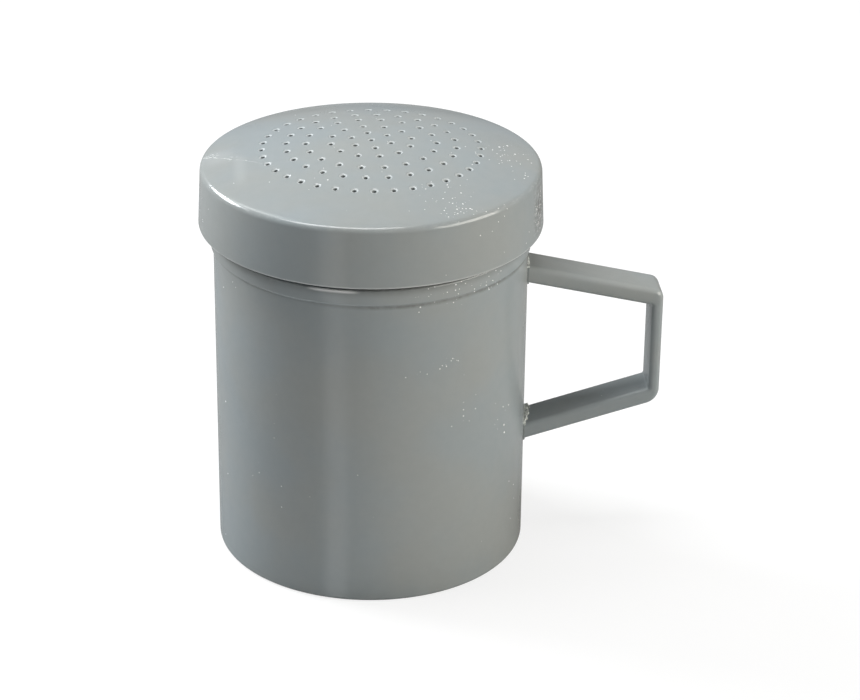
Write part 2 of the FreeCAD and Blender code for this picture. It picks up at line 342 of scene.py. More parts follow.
class Graph:
    """The node graph of one material."""

    def __init__(self, name: str) -> None:
        """Start a material.

        Args:
            name: The material's name.
        """
        self.material = bpy.data.materials.new(name)
        self.material.use_nodes = True
        self.tree = self.material.node_tree
        self.tree.nodes.clear()

    @classmethod
    def of_tree(cls, tree: bpy.types.NodeTree) -> "Graph":
        """A graph on a node tree that is there already, such as a world's."""
        graph = cls.__new__(cls)
        graph.tree = tree
        tree.nodes.clear()
        return graph

    def add(
        self,
        kind: str,
        settings: Mapping[str, Any] | None = None,
        sockets: Mapping[Any, Any] | None = None,
        output: Any = 0,
    ) -> Value:
        """Add one node.

        Args:
            kind: The node's type.
            settings: Its own properties, set first.
            sockets: Values or links of its inputs, by name or number.
            output: The output that is given back, by name or number.

        Returns:
            That output.
        """
        item = self.tree.nodes.new(kind)
        for name, value in (settings or {}).items():
            setattr(item, name, value)
        for name, value in (sockets or {}).items():
            if isinstance(value, Value):
                self.tree.links.new(value.socket, item.inputs[name])
            else:
                item.inputs[name].default_value = value
        return Value(self, item.outputs[output] if item.outputs else None)

    def place(self) -> Value:
        """The surface point in the object's own frame, in millimetres."""
        point = self.add("ShaderNodeTexCoord", output="Object")
        return self.add(
            "ShaderNodeVectorMath", {"operation": "SCALE"}, {0: point, "Scale": 1 / MM}
        )

    def parts(self, vector: Value) -> tuple[Value, Value, Value]:
        """The three parts of a vector."""
        split = self.add("ShaderNodeSeparateXYZ", sockets={0: vector})
        outputs = split.socket.node.outputs
        return tuple(Value(self, outputs[axis]) for axis in "XYZ")

    def local(
        self,
        vector: Value,
        origin: Sequence[float] = (0, 0, 0),
        turn: float = 0.0,
        scale: Sequence[float] = (1, 1, 1),
    ) -> Value:
        """A vector seen from a frame of its own.

        Args:
            vector: The vector.
            origin: Where that frame sits, in millimetres.
            turn: Its angle about Z in degrees.
            scale: How far the pattern is drawn out along each of its axes.

        Returns:
            The vector in that frame.
        """
        sockets = {
            "Vector": vector,
            "Location": origin,
            "Rotation": (0, 0, math.radians(turn)),
            "Scale": scale,
        }
        return self.add("ShaderNodeMapping", {"vector_type": "TEXTURE"}, sockets)

    def near(self, vector: Value, spot: Sequence[float], radius: float) -> Value:
        """1 at a spot, falling smoothly to 0 at a radius from it."""
        sockets = {0: vector, 1: spot}
        away = self.add("ShaderNodeVectorMath", {"operation": "DISTANCE"}, sockets, "Value")
        return away.ramp(radius, 0.0)

    def noise(self, vector: Value, size: float, detail: float = 2.0, rough: float = 0.5) -> Value:
        """Cloudy noise from 0 to 1.

        Args:
            vector: Where it is read, in millimetres.
            size: The size of its largest spots, in millimetres.
            detail: How many finer layers it has.
            rough: How strong those are.

        Returns:
            The noise.
        """
        sockets = {"Vector": vector, "Scale": 1 / size, "Detail": detail, "Roughness": rough}
        return self.add("ShaderNodeTexNoise", sockets=sockets)

    def cells(self, vector: Value, size: float) -> tuple[Value, Value]:
        """Scattered cells.

        Args:
            vector: Where they are read, in millimetres.
            size: The mean size of a cell, in millimetres.

        Returns:
            The distance from the cell's centre in millimetres, and the cell's random colour.
        """
        sockets = {"Vector": vector, "Scale": 1 / size, "Randomness": 1.0}
        near = self.add("ShaderNodeTexVoronoi", {"feature": "F1"}, sockets, "Distance")
        colour = Value(self, near.socket.node.outputs["Color"])
        return near * size, colour

    def blend(self, share: Any, first: Any, second: Any) -> Value:
        """Two colours mixed.

        Args:
            share: How much of the second shows.
            first: The first colour.
            second: The second colour.

        Returns:
            The mixed colour.
        """
        sockets = {0: share, 6: first, 7: second}
        return self.add("ShaderNodeMix", {"data_type": "RGBA"}, sockets, 2)

    def bump(self, height: Value, depth: float, under: Value | None = None) -> Value:
        """A normal tilted by a height.

        Args:
            height: The height, from 0 to 1.
            depth: The depth of a height of 1, in millimetres.
            under: A normal that this one is laid over.

        Returns:
            The new normal.
        """
        sockets = {"Height": height, "Distance": depth * MM, "Strength": 1.0}
        if under:
            sockets["Normal"] = under
        return self.add("ShaderNodeBump", sockets=sockets)

    def finish(self, shader: Value) -> bpy.types.Material:
        """Send a shader to the surface and give the material back."""
        self.add("ShaderNodeOutputMaterial", sockets={"Surface": shader})
        return self.material


def grey(level: float) -> Colour:
    """A neutral colour of one linear level."""
    return (level, level, level, 1.0)


# ---- Finishes

BLACK, WHITE = grey(0.0), grey(1.0)
# The middle pale grey serves scuffs and also painted highlights along some edges.
DUST, SCUFF_AND_HIGHLIGHT, CLOUD = grey(0.92), grey(0.80), grey(0.42)
# A brownish dark, used for settled grime on the lid and for painted shade and shadow on the cup's
# collar.
DIRT_AND_SHADE: Colour = (0.062, 0.058, 0.048, 1.0)
POWDER: Colour = (0.60, 0.63, 0.63, 1.0)


@dataclass(frozen=True)
class Spot:
    """A place where dust has gathered: its middle, its radius and how dense it is."""

    middle: tuple[float, float, float]
    radius: float
    density: float


@dataclass(frozen=True)
class Ring:
    """A band round the Z axis, whole or over a stretch of it, made paler or darker: scuffing and
    grime, and also painted highlights and painted shade.

    Attributes:
        radius: Its radius in millimetres.
        height: Its height.
        half_width: How far it fades outwards.
        strength: How much it shows.
        even: Share of it that has no breaks.
        middle: Azimuth of the stretch's middle in degrees.
        spread: How far the stretch reaches to each side; 180 or more goes all round.
    """

    radius: float
    height: float
    half_width: float
    strength: float
    even: float = 0.0
    middle: float = 0.0
    spread: float = 360.0

    def shown(self, graph: "Graph", place: Value, broken: Value) -> Value:
        """How much of the band shows at a point.

        Args:
            graph: The material's graph.
            place: The surface point in millimetres.
            broken: Noise that says where a band has no breaks.

        Returns:
            The share, from 0 to its strength.
        """
        x, y, z = graph.parts(place)
        radius = (x * x + y * y).root()
        off = abs(radius - self.radius) + abs(z - self.height)
        share = off.ramp(self.half_width, 0.0) * (self.even + broken * (1 - self.even))
        if self.spread < 180:
            turn, reach = math.radians(self.middle), math.radians(self.spread)
            along = (x * math.cos(turn) + y * math.sin(turn)) / radius
            share = share * along.ramp(math.cos(reach), math.cos(reach * 0.4))
        return share * self.strength


@dataclass(frozen=True)
class MouldedPlastic:
    """Glossy moulded plastic with faint mottling, dust, handling scuffs and grime, with painted
    highlights and painted shade on some edges.

    Attributes:
        name: The material's name.
        colour: Its linear colour.
        roughness: Its mean roughness.
        dust: Share of the surface's dust cells that hold a speck, away from the spots.
        spots: Where dust has gathered.
        lightened: Bands made paler: scuffed edges, and painted highlights on the cup's collar and
            the lid's skirt.
        soiled_and_shaded: Bands made darker: grime that has settled, and painted shade and painted
            shadow at the cup's collar.
        flow_line: Whether the lid's pale flow line and the scuffs by it are shown.
        mouths: Radius and centre height of the sphere under whose skin the mouths lie, how
            far out they reach, and a height that is under them all.
    """

    name: str
    colour: tuple[float, float, float] = (0.290, 0.313, 0.315)
    roughness: float = 0.17
    dust: float = 0.012
    spots: tuple[Spot, ...] = ()
    lightened: tuple[Ring, ...] = ()
    soiled_and_shaded: tuple[Ring, ...] = ()
    flow_line: bool = False
    mouths: tuple[float, float, float, float] | None = None

    def make(self) -> bpy.types.Material:
        """Build the material.

        Returns:
            The material.
        """
        graph = Graph(self.name)
        place = graph.place()
        cloud = graph.noise(place, 26.0, 3.0)
        mottle = graph.noise(place, 2.6, 3.0, 0.6)
        colour = graph.blend(cloud.ramp(0.35, 0.65), self._tinted(0.975), self._tinted(1.025))
        colour = graph.blend(mottle.ramp(0.3, 0.7) * 0.06, colour, CLOUD)

        specks = self._specks(graph, place)
        worn_and_highlit = self._worn_and_highlit(graph, place)
        marks_and_highlights = worn_and_highlit + self._flow_line(graph, place) if self.flow_line else worn_and_highlit
        # Darker bands: settled grime, and a painted shadow under the collar and painted shade on it
        # below the lid.
        for band in self.soiled_and_shaded:
            dirt_and_shade = band.shown(graph, place, graph.noise(place, 1.4, 3.0).ramp(0.40, 0.60))
            colour = graph.blend(dirt_and_shade, colour, DIRT_AND_SHADE)
        colour = graph.blend(specks, colour, DUST)
        # Paler patches: scuffs, the flow line, and painted highlights along edges.
        colour = graph.blend(marks_and_highlights * 0.45, colour, SCUFF_AND_HIGHLIGHT)
        residue = self._residue(graph, place)
        colour = graph.blend(residue * 0.42, colour, POWDER)

        smear = graph.noise(graph.local(place, scale=(1.0, 1.0, 4.0)), 9.0, 3.0, 0.55)
        fine = graph.noise(place, 0.8, 2.0)
        rough = self.roughness + (smear - 0.5) * 0.08 + (fine - 0.5) * 0.03
        rough = rough + marks_and_highlights * 0.15 + specks * 0.2 + residue * 0.3

        skin = graph.noise(place, 1.9, 2.0, 0.4)
        sink = graph.noise(place, 15.0, 1.0)
        normal = graph.bump(sink, 0.03)
        normal = graph.bump(skin, 0.004, normal)
        relief = specks + marks_and_highlights * 0.2 - self._scratches(graph, place) * 0.3
        normal = graph.bump(relief, 0.02, normal)

        sockets = {"Base Color": colour, "Roughness": rough, "Normal": normal, "IOR": 1.5}
        return graph.finish(graph.add("ShaderNodeBsdfPrincipled", sockets=sockets))

    def _residue(self, graph: Graph, place: Value) -> Value:
        """The pale film that powder leaves in the mouths: what lies just under the dome."""
        if not self.mouths:
            return graph.noise(place, 5.0).ramp(0.80, 0.95)
        ball, centre, outermost, under = self.mouths
        sockets = {0: place, 1: (0, 0, centre)}
        reach = graph.add("ShaderNodeVectorMath", {"operation": "DISTANCE"}, sockets, "Value")
        x, y, z = graph.parts(place)
        middle = (x * x + y * y).root().ramp(outermost + 1.0, outermost)
        depth = ball - reach
        patchy = graph.noise(place, 1.1, 3.0).ramp(0.25, 0.6) * 0.5 + 0.5
        film = depth.ramp(0.02, 0.08) * depth.ramp(0.75, 0.35)
        return film * middle * patchy * z.over(under)

    def _tinted(self, warmth: float) -> Colour:
        """The colour made a little warmer or, under 1, cooler."""
        red, green, blue = self.colour
        return (red * warmth, green, blue * (2 - warmth), 1.0)

    def _specks(self, graph: Graph, place: Value) -> Value:
        """Dust: a share of the cells hold a round grain each, more of them at the spots."""
        density = graph.noise(place, 18.0, 1.0).ramp(0.4, 0.7) * self.dust
        for spot in self.spots:
            density = density + graph.near(place, spot.middle, spot.radius) * spot.density
        total = None
        for size, least, spread in ((0.72, 0.10, 0.11), (2.3, 0.16, 0.18)):
            away, colour = graph.cells(place, size)
            red, green, _ = graph.parts(colour)
            speck = red.over(1 - density) * (away / (green * spread + least)).ramp(1.0, 0.5)
            total = speck if total is None else total + speck
        return total

    def _worn_and_highlit(self, graph: Graph, place: Value) -> Value:
        """Scuffs, and the bands made paler: scuffed edges and painted highlights."""
        broken = graph.noise(graph.local(place, scale=(1, 1, 0.4)), 1.8, 4.0, 0.65)
        total = broken.ramp(0.70, 0.80) * 0.15
        for band in self.lightened:
            total = total + band.shown(graph, place, broken.ramp(0.48, 0.66))
        return total

    def _flow_line(self, graph: Graph, place: Value) -> Value:
        """The pale line where two streams of plastic met, the scuffs by it and a smear."""
        frame_at = graph.local(place, (-38.3, 4.4, 95.4), -41.2)
        along, across, _ = graph.parts(frame_at)
        wobble = graph.noise(graph.local(frame_at, scale=(2.0, 1, 1)), 2.4, 2.0)
        grit = graph.noise(graph.local(frame_at, scale=(1.8, 0.8, 1)), 0.5, 4.0, 0.7)
        off = abs(across + (wobble - 0.5) * 1.2)
        run = along.ramp(24.0, 5.0) * along.ramp(-0.5, 0.5)
        stretches = graph.noise(graph.local(frame_at, scale=(2.5, 1, 1)), 1.5, 2.0).ramp(0.40, 0.56)
        line = off.ramp(0.24, 0.04) * run * (0.12 + grit.ramp(0.44, 0.58) * 0.9)
        line = line * (0.3 + stretches * 0.8)
        lightened = graph.near(frame_at, (1.5, 0.9, 0.5), 2.6) * 1.6
        lightened = lightened + graph.near(frame_at, (8.5, 0.3, 1.5), 2.6) * 0.8
        haze = graph.near(frame_at, (4.0, 0.2, 0.8), 6.5) * 0.22
        scuffs = lightened * grit.ramp(0.50, 0.66) + haze
        x, y, _ = graph.parts(place)
        smear = abs(x + 30.2).ramp(2.2, 0.2) * y.ramp(1.0, -3.0) * y.ramp(-17.0, -12.0) * 0.14
        return line + scuffs + smear

    def _scratches(self, graph: Graph, place: Value) -> Value:
        """Hair scratches in two directions, in some areas only."""
        total = None
        for turn, wide in ((24.0, 0.35), (-57.0, 0.5)):
            lines = graph.noise(graph.local(place, turn=turn, scale=(12, 1, 3)), wide, 1.0)
            hair = abs(lines - 0.5).ramp(0.012, 0.0)
            total = hair if total is None else total + hair
        return total * graph.noise(place, 11.0, 1.0).ramp(0.5, 0.66)


@dataclass(frozen=True)
class DriedAdhesive:
    """Set adhesive: pale and flecked where it stands proud on top, clear grey in the joint.

    Attributes:
        name: The material's name.
        crests: Height of each bar's top at its root, in millimetres.
    """

    name: str = "dried_adhesive"
    crests: tuple[float, float] = (29.0, 70.25)

    def make(self) -> bpy.types.Material:
        """Build the material.

        Returns:
            The material.
        """
        graph = Graph(self.name)
        place = graph.place()
        _, _, z = graph.parts(place)
        low, high = self.crests
        upper = z.over((low + high) / 2)
        above = z - low - upper * (high - low)
        crust = above.ramp(-0.25, 0.05)
        fleck = graph.noise(place, 0.6, 3.0, 0.65)
        patch = graph.noise(place, 2.4, 2.0)
        clear = graph.blend(patch, (0.17, 0.185, 0.185, 1), (0.24, 0.26, 0.26, 1))
        pale = graph.blend(fleck.ramp(0.36, 0.56), (0.30, 0.32, 0.31, 1), (0.82, 0.84, 0.80, 1))
        colour = graph.blend(crust * (0.55 + fleck.ramp(0.35, 0.5) * 0.45), clear, pale)
        normal = graph.bump(fleck, 0.05)
        rough = 0.3 + patch * 0.3 + crust * 0.1
        sockets = {"Base Color": colour, "Roughness": rough, "Normal": normal, "IOR": 1.47}
        return graph.finish(graph.add("ShaderNodeBsdfPrincipled", sockets=sockets))


# ---- Pieces


@dataclass
class Piece:
    """One sub-assembly: what it stands for and what it rides on."""

    name: str
    nodes: tuple[str, ...]
    body: str
    slot: Slot

    def shape(self) -> bpy.types.Object:
        """Model the piece's mesh."""
        raise NotImplementedError

    def build(self, material: bpy.types.Material) -> bpy.types.Object:
        """Model, dress and mount the piece.

        Args:
            material: Its finish.

        Returns:
            The finished piece.
        """
        piece = self.shape()
        piece.name = self.name
        piece.data.name = self.name
        piece.data.materials.clear()
        piece.data.materials.append(material)
        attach(piece, self.body)
        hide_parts(*self.nodes)
        triangles = sum(len(face.vertices) - 2 for face in piece.data.polygons)
        log.info("%s: %d triangles, rides on %s", self.name, triangles, self.body)
        return piece


@dataclass
class Cup(Piece):
    """The straight cup with its foot ring, stop collar, neck bead and rim."""

    name: str = "cup_shell"
    nodes: tuple[str, ...] = ("cup",)
    body: str = "body"
    slot: Slot = Slot.BODY
    radius: float = 36.65
    height: float = 93.9
    wall: float = 2.0
    cavity_draft: float = 0.35
    floor_thickness: float = 2.4
    floor_corner: float = 3.0
    foot_recess: float = 0.8
    foot_ring: float = 3.6
    foot_edge: float = 0.9
    foot_inner_edge: float = 0.25
    rim_edge: float = 0.5
    neck_height: float = 14.1
    collar_depth: float = 4.0
    collar_proud: float = 0.6
    collar_top_edge: float = 0.55
    collar_low_edge: float = 0.55
    neck_bead_drop: float = 5.7
    bead_round: float = 0.9
    bead_proud: float = 0.5
    sides: int = 288
    steps: int = 7

    def shape(self) -> bpy.types.Object:
        """Spin the cup's outline about its axis."""
        ring_inner = self.radius - self.foot_ring
        floor_top = self.foot_recess + self.floor_thickness
        collar_top = self.height - self.neck_height
        collar_base = collar_top - self.collar_depth
        collar_radius = self.radius + self.collar_proud
        rim_inner = self.radius - self.wall
        well = rim_inner - self.cavity_draft
        low = fillet_points(
            [
                (0, self.foot_recess, 0),
                (ring_inner, self.foot_recess, self.foot_inner_edge),
                (ring_inner, 0, self.foot_inner_edge),
                (self.radius, 0, self.foot_edge),
                (self.radius, collar_base, 0),
                (collar_radius, collar_base, self.collar_low_edge),
                (collar_radius, collar_top, self.collar_top_edge),
                (self.radius, collar_top, 0),
                (self.radius, self.height - self.neck_bead_drop - 2 * self.bead_round, 0),
            ],
            self.steps,
        )
        high = fillet_points(
            [
                (self.radius, self.height - self.neck_bead_drop + 2 * self.bead_round, 0),
                (self.radius, self.height, self.rim_edge),
                (rim_inner, self.height, self.rim_edge),
                (well, floor_top, self.floor_corner),
                (0, floor_top, 0),
            ],
            self.steps,
        )
        piece = lathed(self.name, low + self._bead() + high, self.sides)
        smooth(piece, 32)
        return piece

    def _bead(self) -> list[Point]:
        """Points of the snap bead's round section, outside the neck."""
        centre = self.radius + self.bead_proud - self.bead_round
        height = self.height - self.neck_bead_drop
        reach = math.acos((self.radius - centre) / self.bead_round)
        return arc_points((centre, height), self.bead_round, -reach, reach, self.steps)


@dataclass
class Handle(Piece):
    """The flat-bar loop handle: an upright grip and two bars that spread towards the cup."""

    name: str = "loop_handle"
    nodes: tuple[str, ...] = ("handle",)
    body: str = "body"
    slot: Slot = Slot.BODY
    width: float = 10.1
    reach: float = 68.8
    grip_thickness: float = 2.7
    upper_root: float = 70.25
    lower_root: float = 24.95
    grip_top: float = 63.2
    grip_bottom: float = 34.45
    upper_thickness: float = 4.25
    lower_thickness: float = 4.05
    upper_corner: float = 2.5
    lower_corner: float = 4.0
    inner_corner: float = 0.6
    outer_edge: float = 1.3
    inner_edge: float = 1.1
    cup_radius: float = 36.65
    seat: float = 0.3
    overrun: float = 2.0
    cutter_height: float = 90.0
    steps: int = 12

    def shape(self) -> bpy.types.Object:
        """Extrude the loop's outline across its width, ease its edges and trim its roots."""
        piece = traced(self.name, fillet_points(self._corners(), self.steps))
        with editing(piece):
            bpy.ops.mesh.select_all(action="SELECT")
            bpy.ops.mesh.edge_face_add()
            bpy.ops.transform.translate(value=(0, -self.width / 2 * MM, 0))
            bpy.ops.mesh.extrude_region_move(
                TRANSFORM_OT_translate={"value": (0, self.width * MM, 0)}
            )
            bpy.ops.mesh.select_all(action="SELECT")
            bpy.ops.mesh.normals_make_consistent(inside=False)
        self._ease(piece, False, self.outer_edge)
        self._ease(piece, True, self.inner_edge)
        self._trim(piece)
        smooth(piece, 32)
        return piece

    def _roof(self, across: float) -> float:
        """Height of the upper bar's top at a distance from the axis."""
        slope = (self.upper_root - self.grip_top) / (self.reach - self.cup_radius)
        return self.grip_top + slope * (self.reach - across)

    def _sill(self, across: float) -> float:
        """Height of the lower bar's underside at a distance from the axis."""
        slope = (self.grip_bottom - self.lower_root) / (self.reach - self.cup_radius)
        return self.grip_bottom - slope * (self.reach - across)

    def _corners(self) -> list[tuple[float, float, float]]:
        """Across, up and rounding of the loop's corners, from the upper root and back to it."""
        root = self.cup_radius - self.overrun
        inner = self.reach - self.grip_thickness
        return [
            (root, self._roof(root), 0),
            (self.reach, self.grip_top, self.upper_corner),
            (self.reach, self.grip_bottom, self.lower_corner),
            (root, self._sill(root), 0),
            (root, self._sill(root) + self.lower_thickness, 0),
            (inner, self._sill(inner) + self.lower_thickness, self.inner_corner),
            (inner, self._roof(inner) - self.upper_thickness, self.inner_corner),
            (root, self._roof(root) - self.upper_thickness, 0),
        ]

    def _ease(self, piece: bpy.types.Object, inside: bool, radius: float) -> None:
        """Round the long edges of both flat sides.

        Args:
            piece: The loop.
            inside: Whether the edges of the finger gap are meant, and not the outer ones.
            radius: The rounding's radius.
        """
        half = self.width / 2 * MM
        root = (self.cup_radius - self.overrun) * MM
        with editing(piece):
            select_where(
                piece,
                "edges",
                lambda e: all(abs(abs(v.co.y) - half) < TOUCH for v in e.verts)
                and abs(e.verts[0].co.y - e.verts[1].co.y) < TOUCH
                and max(v.co.x for v in e.verts) > root + TOUCH
                and self._in_gap(e) == inside,
            )
            bpy.ops.mesh.bevel(
                offset_type="OFFSET",
                offset=radius * MM,
                segments=6,
                affect="EDGES",
                clamp_overlap=False,
            )

    def _in_gap(self, edge: bmesh.types.BMEdge) -> bool:
        """Whether an edge lies on the outline of the finger gap."""
        middle = (edge.verts[0].co + edge.verts[1].co) / 2 / MM
        slack = 0.1
        low = self._sill(middle.x) + self.lower_thickness - slack
        high = self._roof(middle.x) - self.upper_thickness + slack
        return middle.x < self.reach - self.grip_thickness + slack and low < middle.z < high

    def _trim(self, piece: bpy.types.Object) -> None:
        """Cut the roots to the curve of the cup's wall."""
        seat, top = self.cup_radius + self.seat, self.cutter_height
        cutter = lathed("root_cutter", [(0, 0), (seat, 0), (seat, top), (0, top)], 256)
        apply_modifier(piece, "BOOLEAN", object=cutter, operation="DIFFERENCE", solver="EXACT")
        bpy.data.objects.remove(cutter)


@dataclass
class Bond(Piece):
    """The set adhesive round one root of the handle, squeezed out most on top of the bar."""

    name: str = "upper_glue_bead"
    nodes: tuple[str, ...] = ("upper_bond",)
    body: str = "body"
    slot: Slot = Slot.BOND
    low: float = 66.0
    high: float = 70.25
    width: float = 10.1
    cup_radius: float = 36.65
    sunk: float = 0.35
    proud: float = 0.38
    lip: float = 0.06
    bead: float = 0.30
    bead_reach: float = 0.6
    bead_edge: float = 0.08
    blob: float = 0.0
    lumps: float = 0.16
    columns: int = 64

    def shape(self) -> bpy.types.Object:
        """Spin the bead's section along the cup's wall, draw out its blob and make it lumpy."""
        inner = self.cup_radius - self.sunk
        outer = self.cup_radius + self.proud
        low, high = self.low - self.lip, self.high + self.lip
        crest = self.high + self.bead
        half = (self.width / 2 + self.lip) / self.cup_radius
        points = [
            (inner, low),
            (outer, low),
            (outer, high),
            (outer + self.bead * self.bead_reach, high),
            (outer, crest - self.bead_edge),
            (inner, crest),
            (inner, low),
        ]
        piece = traced(self.name, points)
        with editing(piece):
            bpy.ops.mesh.select_all(action="SELECT")
            bpy.ops.mesh.remove_doubles(threshold=0.001 * MM)
            bpy.ops.mesh.select_all(action="SELECT")
            bpy.ops.mesh.edge_face_add()
            bpy.ops.transform.rotate(value=half, orient_axis="Z", center_override=(0, 0, 0))
        self._sweep(piece, half)
        self._draw_blob(piece)
        self._roughen(piece)
        return piece

    def _sweep(self, piece: bpy.types.Object, half: float) -> None:
        """Carry the section round the wall.

        Args:
            piece: The section.
            half: Half the angle that it sweeps, in radians.
        """
        side = math.copysign(1, sum(vertex.co.y for vertex in piece.data.vertices))
        with editing(piece):
            bpy.ops.mesh.select_all(action="SELECT")
            bpy.ops.mesh.spin(
                steps=self.columns, angle=2 * half * side, center=(0, 0, 0), axis=(0, 0, 1)
            )
            bpy.ops.mesh.select_all(action="SELECT")
            bpy.ops.mesh.normals_make_consistent(inside=False)
        apply_modifier(piece, "REMESH", mode="VOXEL", voxel_size=0.075 * MM)

    def _draw_blob(self, piece: bpy.types.Object) -> None:
        """Pull the crest out along the bar, and up, towards its far side."""
        if not self.blob:
            return
        for place in (0.2, 0.45, 0.75):
            with editing(piece):
                select_where(
                    piece,
                    "verts",
                    lambda v: v.co.z / MM > self.high
                    and v.co.y / MM > self.width * (place - 0.5)
                    and v.co.x / MM > self.cup_radius + self.proud * 0.4,
                )
                bpy.ops.transform.translate(value=(self.blob / 3 * MM, 0, self.blob / 8 * MM))
        apply_modifier(piece, "REMESH", mode="VOXEL", voxel_size=0.085 * MM)

    def _roughen(self, piece: bpy.types.Object) -> None:
        """Soften the bead and give it lumps."""
        apply_modifier(piece, "SMOOTH", factor=0.5, iterations=5)
        lumps = bpy.data.textures.new(f"{self.name}_lumps", "CLOUDS")
        lumps.noise_scale = 0.9 * MM
        lumps.noise_depth = 2
        apply_modifier(
            piece,
            "DISPLACE",
            texture=lumps,
            texture_coords="LOCAL",
            strength=self.lumps * MM,
            mid_level=0.5,
        )
        apply_modifier(piece, "SMOOTH", factor=0.5, iterations=1)
        smooth(piece, 60)


@dataclass
class Lid(Piece):
    """The press-on lid: a domed plate with rings of small dished holes, and a deep skirt."""

    name: str = "lid_shell"
    nodes: tuple[str, ...] = ("lid",)
    body: str = "lid"
    slot: Slot = Slot.LID
    radius: float = 40.0
    top_radius: float = 39.35
    wall: float = 2.2
    top_thickness: float = 2.0
    seat_height: float = 93.9
    skirt_bottom: float = 81.2
    apex: float = 100.87
    dome_rise: float = 5.73
    shoulder_edge: float = 1.6
    shoulder_reach: float = 2.2
    skirt_edge: float = 0.45
    seat_inner: float = 33.65
    seat_draft: float = 0.35
    bead_inner: float = 37.23
    bead_height: float = 86.3
    bead_round: float = 0.9
    bead_sweep: float = 0.86
    hole_radius: float = 0.53
    mouth_radius: float = 0.98
    mouth_depth: float = 0.25
    mouth_flare: float = 1.18
    rings: tuple[tuple[int, float, float], ...] = (
        (6, 4.8, 37.6),
        (12, 9.4, 8.3),
        (18, 15.0, 18.2),
        (24, 19.6, 8.1),
        (36, 25.2, 8.3),
    )
    seed: int = 7
    sides: int = 240
    hole_sides: int = 28
    steps: int = 8
    dome_steps: int = 34

    @property
    def ball(self) -> float:
        """Radius of the sphere that the dome is a cap of."""
        return (self.top_radius**2 + self.dome_rise**2) / (2 * self.dome_rise)

    @property
    def centre(self) -> float:
        """Height of that sphere's centre."""
        return self.apex - self.ball

    def shape(self) -> bpy.types.Object:
        """Spin the lid's outline, then sink the mouths and pierce the holes."""
        piece = lathed(self.name, self._outline(), self.sides)
        for cutters in (self._dishes(), self._pins()):
            apply_modifier(
                piece, "BOOLEAN", object=cutters, operation="DIFFERENCE", solver="MANIFOLD"
            )
            bpy.data.objects.remove(cutters)
        smooth(piece, 18)
        return piece

    def _cap(self, ball: float, last: float) -> list[Point]:
        """Points of a dome's arc from its top to a radius."""
        top, reach = math.pi / 2, math.asin(last / ball)
        return arc_points((0.0, self.centre), ball, top, top - reach, self.dome_steps)

    def _outline(self) -> list[Point]:
        """The lid's section, from the top of its dome round to the underside."""
        inner = self.radius - self.wall
        top_inner = self.top_radius - self.wall
        under = self.ball - self.top_thickness
        top = self._cap(self.ball, self.top_radius - self.shoulder_reach)
        underside = self._cap(under, self.seat_inner)
        shoulder = fillet_points(
            [
                (*top[-1], 0),
                (self.top_radius, self.apex - self.dome_rise, self.shoulder_edge),
                (self.radius, self.skirt_bottom, self.skirt_edge),
                (inner, self.skirt_bottom, self.skirt_edge),
                (inner, self.bead_height - 2 * self.bead_round, 0),
            ],
            self.steps,
        )
        bead = arc_points(
            (self.bead_inner + self.bead_round, self.bead_height),
            self.bead_round,
            math.pi + self.bead_sweep,
            math.pi - self.bead_sweep,
            self.steps,
        )
        seat = [
            (top_inner + self.seat_draft, self.bead_height + 2 * self.bead_round),
            (top_inner, self.seat_height),
            (self.seat_inner, self.seat_height),
        ]
        return top + shoulder[1:] + bead + seat + underside[::-1]

    def _spots(self) -> list[tuple[float, float]]:
        """Radius and angle of every hole, from the middle out."""
        spots = [(0.0, 0.0)]
        for count, radius, start in self.rings:
            spots += [(radius, math.radians(start) + FULL_TURN * n / count) for n in range(count)]
        return spots

    def _copies(self, first: bpy.types.Object, tilted: bool, spread: float) -> bpy.types.Object:
        """One cutter copied to every hole and joined.

        Args:
            first: The cutter, upright, with its zero height at the surface.
            tilted: Whether the copies stand square to the dome, and not upright.
            spread: How much the copies differ in size.

        Returns:
            All the copies as one object.
        """
        dice = random.Random(self.seed)
        copies = []
        for radius, angle in self._spots():
            copy = first.copy()
            copy.data = first.data.copy()
            bpy.context.collection.objects.link(copy)
            lean = math.asin(radius / self.ball) if tilted else 0.0
            height = self.centre + math.sqrt(self.ball**2 - radius**2)
            size = 1 + dice.uniform(-spread, spread)
            copy.matrix_world = (
                Matrix.Rotation(angle, 4, "Z")
                @ Matrix.Translation((radius * MM, 0, height * MM))
                @ Matrix.Rotation(lean, 4, "Y")
                @ Matrix.Diagonal((size, size, 1, 1))
            )
            copies.append(copy)
        bpy.data.objects.remove(first)
        deselect_all()
        for copy in copies:
            copy.select_set(True)
        bpy.context.view_layer.objects.active = copies[0]
        bpy.ops.object.join()
        joined = bpy.context.object
        settle(joined)
        return joined

    def _pins(self) -> bpy.types.Object:
        """Upright pins that pierce the plate."""
        length = 2 * self.top_thickness
        r = self.hole_radius
        outline = [(0, -length), (r, -length), (r, length), (0, length)]
        pin = lathed("pin", outline, self.hole_sides)
        return self._copies(pin, False, 0.04)

    def _dishes(self) -> bpy.types.Object:
        """Shallow round dishes about the mouths, square to the dome."""
        ball = (self.mouth_radius**2 + self.mouth_depth**2) / (2 * self.mouth_depth)
        lift = ball - self.mouth_depth
        foot, sweep = -math.pi / 2, math.acos(lift / ball)
        wide = self.mouth_radius * self.mouth_flare
        bowl = arc_points((0.0, lift), ball, foot, foot + sweep, self.steps)
        rim = [(wide, self.mouth_depth), (0.0, self.mouth_depth)]
        dish = lathed("dish", [(0.0, -self.mouth_depth)] + bowl[1:] + rim, self.hole_sides)
        return self._copies(dish, True, 0.07)


# ---- Studio


